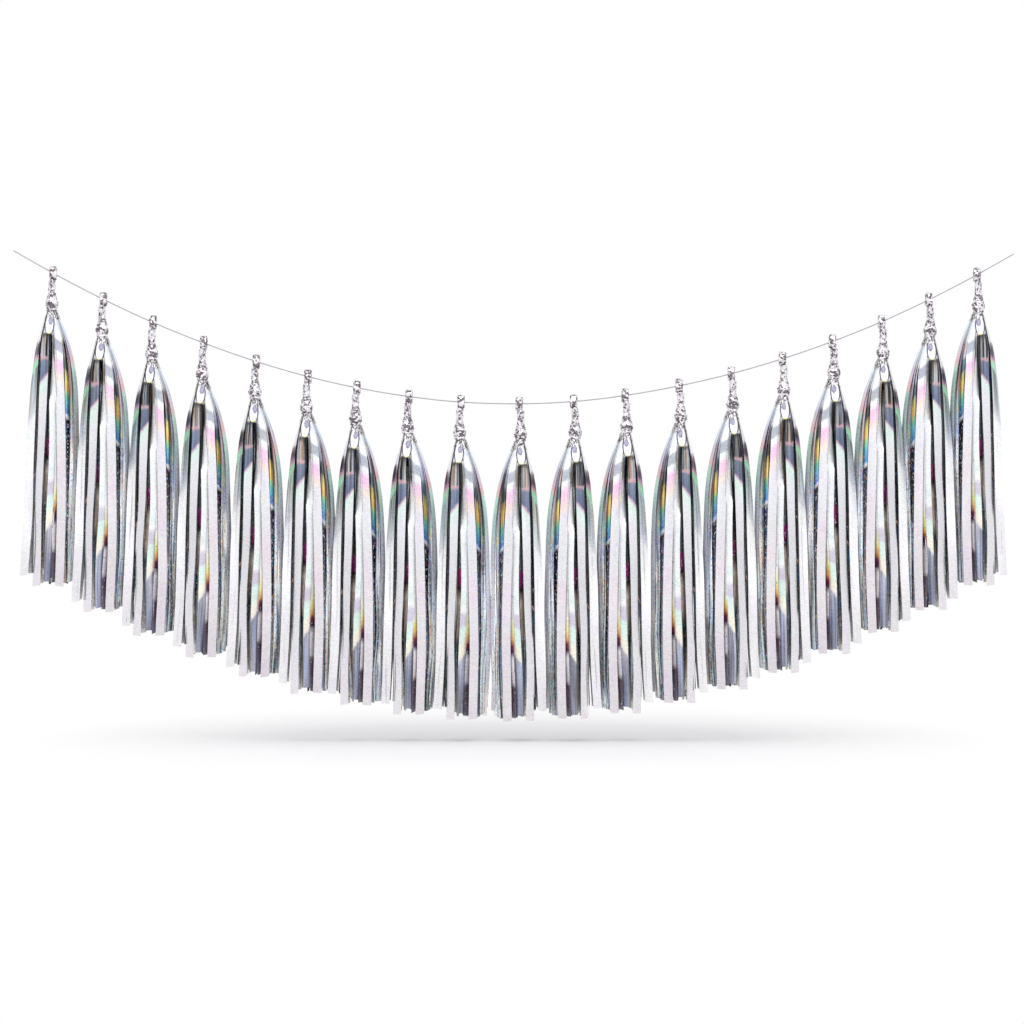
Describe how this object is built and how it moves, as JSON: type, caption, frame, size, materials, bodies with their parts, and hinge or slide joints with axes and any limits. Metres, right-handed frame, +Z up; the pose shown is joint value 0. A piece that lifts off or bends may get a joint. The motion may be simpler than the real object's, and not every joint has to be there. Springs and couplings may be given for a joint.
{
  "type": "tassel garland",
  "caption": "Party garland: iridescent silver foil tassels with twisted loops and long cut strips, threaded on a thin sagging string with two bare ends to tie up.",
  "frame": {"origin": "middle of the string's left end, where the garland is tied up", "axes": "+X to the right along the garland, +Y away from someone looking at its front, +Z up"},
  "size_m": [1.0984, 0.0406, 0.5118],
  "materials": {
    "foil": "bright metallised plastic film, silver with an iridescent sheen",
    "twine": "thin twisted twine, pale grey"
  },
  "bodies": {
    "string": {"string": "twine"},
    "loop_01": {"tassel_01_loop": "foil"},
    "tassel_01": {"tassel_01_head": "foil", "tassel_01_fringe": "foil"},
    "loop_02": {"tassel_02_loop": "foil"},
    "tassel_02": {"tassel_02_head": "foil", "tassel_02_fringe": "foil"},
    "loop_03": {"tassel_03_loop": "foil"},
    "tassel_03": {"tassel_03_head": "foil", "tassel_03_fringe": "foil"},
    "loop_04": {"tassel_04_loop": "foil"},
    "tassel_04": {"tassel_04_head": "foil", "tassel_04_fringe": "foil"},
    "loop_05": {"tassel_05_loop": "foil"},
    "tassel_05": {"tassel_05_head": "foil", "tassel_05_fringe": "foil"},
    "loop_06": {"tassel_06_loop": "foil"},
    "tassel_06": {"tassel_06_head": "foil", "tassel_06_fringe": "foil"},
    "loop_07": {"tassel_07_loop": "foil"},
    "tassel_07": {"tassel_07_head": "foil", "tassel_07_fringe": "foil"},
    "loop_08": {"tassel_08_loop": "foil"},
    "tassel_08": {"tassel_08_head": "foil", "tassel_08_fringe": "foil"},
    "loop_09": {"tassel_09_loop": "foil"},
    "tassel_09": {"tassel_09_head": "foil", "tassel_09_fringe": "foil"},
    "loop_10": {"tassel_10_loop": "foil"},
    "tassel_10": {"tassel_10_head": "foil", "tassel_10_fringe": "foil"},
    "loop_11": {"tassel_11_loop": "foil"},
    "tassel_11": {"tassel_11_head": "foil", "tassel_11_fringe": "foil"},
    "loop_12": {"tassel_12_loop": "foil"},
    "tassel_12": {"tassel_12_head": "foil", "tassel_12_fringe": "foil"},
    "loop_13": {"tassel_13_loop": "foil"},
    "tassel_13": {"tassel_13_head": "foil", "tassel_13_fringe": "foil"},
    "loop_14": {"tassel_14_loop": "foil"},
    "tassel_14": {"tassel_14_head": "foil", "tassel_14_fringe": "foil"},
    "loop_15": {"tassel_15_loop": "foil"},
    "tassel_15": {"tassel_15_head": "foil", "tassel_15_fringe": "foil"},
    "loop_16": {"tassel_16_loop": "foil"},
    "tassel_16": {"tassel_16_head": "foil", "tassel_16_fringe": "foil"},
    "loop_17": {"tassel_17_loop": "foil"},
    "tassel_17": {"tassel_17_head": "foil", "tassel_17_fringe": "foil"},
    "loop_18": {"tassel_18_loop": "foil"},
    "tassel_18": {"tassel_18_head": "foil", "tassel_18_fringe": "foil"},
    "loop_19": {"tassel_19_loop": "foil"},
    "tassel_19": {"tassel_19_head": "foil", "tassel_19_fringe": "foil"}
  },
  "joints": [
    {"name": "tassel_01_slide", "type": "slide", "parent": "string", "child": "loop_01", "axis": [0.8765, 0, -0.4813], "range_m": [-0.015, 0.0028]},
    {"name": "tassel_01_swing", "type": "hinge", "parent": "loop_01", "child": "tassel_01", "pos_m": [0.04356, 0, -0.02495], "axis": [1, 0, 0], "range_deg": [-90, 90]},
    {"name": "tassel_02_slide", "type": "slide", "parent": "string", "child": "loop_02", "axis": [0.8967, 0, -0.4427], "range_m": [-0.0028, 0.0025]},
    {"name": "tassel_02_swing", "type": "hinge", "parent": "loop_02", "child": "tassel_02", "pos_m": [0.09856, 0, -0.0535], "axis": [1, 0, 0], "range_deg": [-90, 90]},
    {"name": "tassel_03_slide", "type": "slide", "parent": "string", "child": "loop_03", "axis": [0.9166, 0, -0.3998], "range_m": [-0.0025, 0.0031]},
    {"name": "tassel_03_swing", "type": "hinge", "parent": "loop_03", "child": "tassel_03", "pos_m": [0.15302, 0, -0.07893], "axis": [1, 0, 0], "range_deg": [-90, 90]},
    {"name": "tassel_04_slide", "type": "slide", "parent": "string", "child": "loop_04", "axis": [0.9351, 0, -0.3544], "range_m": [-0.0031, 0.0042]},
    {"name": "tassel_04_swing", "type": "hinge", "parent": "loop_04", "child": "tassel_04", "pos_m": [0.20856, 0, -0.10146], "axis": [1, 0, 0], "range_deg": [-90, 90]},
    {"name": "tassel_05_slide", "type": "slide", "parent": "string", "child": "loop_05", "axis": [0.9516, 0, -0.3073], "range_m": [-0.0042, 0.0036]},
    {"name": "tassel_05_swing", "type": "hinge", "parent": "loop_05", "child": "tassel_05", "pos_m": [0.26632, 0, -0.12183], "axis": [1, 0, 0], "range_deg": [-90, 90]},
    {"name": "tassel_06_slide", "type": "slide", "parent": "string", "child": "loop_06", "axis": [0.9677, 0, -0.252], "range_m": [-0.0036, 0.0022]},
    {"name": "tassel_06_swing", "type": "hinge", "parent": "loop_06", "child": "tassel_06", "pos_m": [0.32296, 0, -0.13839], "axis": [1, 0, 0], "range_deg": [-90, 90]},
    {"name": "tassel_07_slide", "type": "slide", "parent": "string", "child": "loop_07", "axis": [0.9809, 0, -0.1947], "range_m": [-0.0022, 0.0039]},
    {"name": "tassel_07_swing", "type": "hinge", "parent": "loop_07", "child": "tassel_07", "pos_m": [0.37681, 0, -0.15073], "axis": [1, 0, 0], "range_deg": [-90, 90]},
    {"name": "tassel_08_slide", "type": "slide", "parent": "string", "child": "loop_08", "axis": [0.9905, 0, -0.1374], "range_m": [-0.0039, 0.0039]},
    {"name": "tassel_08_swing", "type": "hinge", "parent": "loop_08", "child": "tassel_08", "pos_m": [0.43402, 0, -0.16035], "axis": [1, 0, 0], "range_deg": [-90, 90]},
    {"name": "tassel_09_slide", "type": "slide", "parent": "string", "child": "loop_09", "axis": [0.9976, 0, -0.069], "range_m": [-0.0039, 0.0072]},
    {"name": "tassel_09_swing", "type": "hinge", "parent": "loop_09", "child": "tassel_09", "pos_m": [0.49119, 0, -0.16646], "axis": [1, 0, 0], "range_deg": [-90, 90]},
    {"name": "tassel_10_slide", "type": "slide", "parent": "string", "child": "loop_10", "axis": [1, 0, 0.0066], "range_m": [-0.0072, 0.0053]},
    {"name": "tassel_10_swing", "type": "hinge", "parent": "loop_10", "child": "tassel_10", "pos_m": [0.55495, 0, -0.16835], "axis": [1, 0, 0], "range_deg": [-90, 90]},
    {"name": "tassel_11_slide", "type": "slide", "parent": "string", "child": "loop_11", "axis": [0.9968, 0, 0.0805], "range_m": [-0.0053, 0.0036]},
    {"name": "tassel_11_swing", "type": "hinge", "parent": "loop_11", "child": "tassel_11", "pos_m": [0.61488, 0, -0.16581], "axis": [1, 0, 0], "range_deg": [-90, 90]},
    {"name": "tassel_12_slide", "type": "slide", "parent": "string", "child": "loop_12", "axis": [0.9891, 0, 0.1476], "range_m": [-0.0036, 0.005]},
    {"name": "tassel_12_swing", "type": "hinge", "parent": "loop_12", "child": "tassel_12", "pos_m": [0.67148, 0, -0.15917], "axis": [1, 0, 0], "range_deg": [-90, 90]},
    {"name": "tassel_13_slide", "type": "slide", "parent": "string", "child": "loop_13", "axis": [0.9794, 0, 0.2019], "range_m": [-0.005, 0.0039]},
    {"name": "tassel_13_swing", "type": "hinge", "parent": "loop_13", "child": "tassel_13", "pos_m": [0.73086, 0, -0.14855], "axis": [1, 0, 0], "range_deg": [-90, 90]},
    {"name": "tassel_14_slide", "type": "slide", "parent": "string", "child": "loop_14", "axis": [0.9672, 0, 0.2539], "range_m": [-0.0039, 0.0033]},
    {"name": "tassel_14_swing", "type": "hinge", "parent": "loop_14", "child": "tassel_14", "pos_m": [0.78807, 0, -0.13519], "axis": [1, 0, 0], "range_deg": [-90, 90]},
    {"name": "tassel_15_slide", "type": "slide", "parent": "string", "child": "loop_15", "axis": [0.9526, 0, 0.3043], "range_m": [-0.0033, 0.0028]},
    {"name": "tassel_15_swing", "type": "hinge", "parent": "loop_15", "child": "tassel_15", "pos_m": [0.84416, 0, -0.11883], "axis": [1, 0, 0], "range_deg": [-90, 90]},
    {"name": "tassel_16_slide", "type": "slide", "parent": "string", "child": "loop_16", "axis": [0.9366, 0, 0.3504], "range_m": [-0.0028, 0.0022]},
    {"name": "tassel_16_swing", "type": "hinge", "parent": "loop_16", "child": "tassel_16", "pos_m": [0.89916, 0, -0.09976], "axis": [1, 0, 0], "range_deg": [-90, 90]},
    {"name": "tassel_17_slide", "type": "slide", "parent": "string", "child": "loop_17", "axis": [0.9173, 0, 0.3982], "range_m": [-0.0022, 0.0012]},
    {"name": "tassel_17_swing", "type": "hinge", "parent": "loop_17", "child": "tassel_17", "pos_m": [0.953, 0, -0.07809], "axis": [1, 0, 0], "range_deg": [-90, 90]},
    {"name": "tassel_18_slide", "type": "slide", "parent": "string", "child": "loop_18", "axis": [0.897, 0, 0.442], "range_m": [-0.0012, 0.0017]},
    {"name": "tassel_18_swing", "type": "hinge", "parent": "loop_18", "child": "tassel_18", "pos_m": [1.00472, 0, -0.05401], "axis": [1, 0, 0], "range_deg": [-90, 90]},
    {"name": "tassel_19_slide", "type": "slide", "parent": "string", "child": "loop_19", "axis": [0.8769, 0, 0.4807], "range_m": [-0.0017, 0.015]},
    {"name": "tassel_19_swing", "type": "hinge", "parent": "loop_19", "child": "tassel_19", "pos_m": [1.05751, 0, -0.02666], "axis": [1, 0, 0], "range_deg": [-90, 90]}
  ]
}
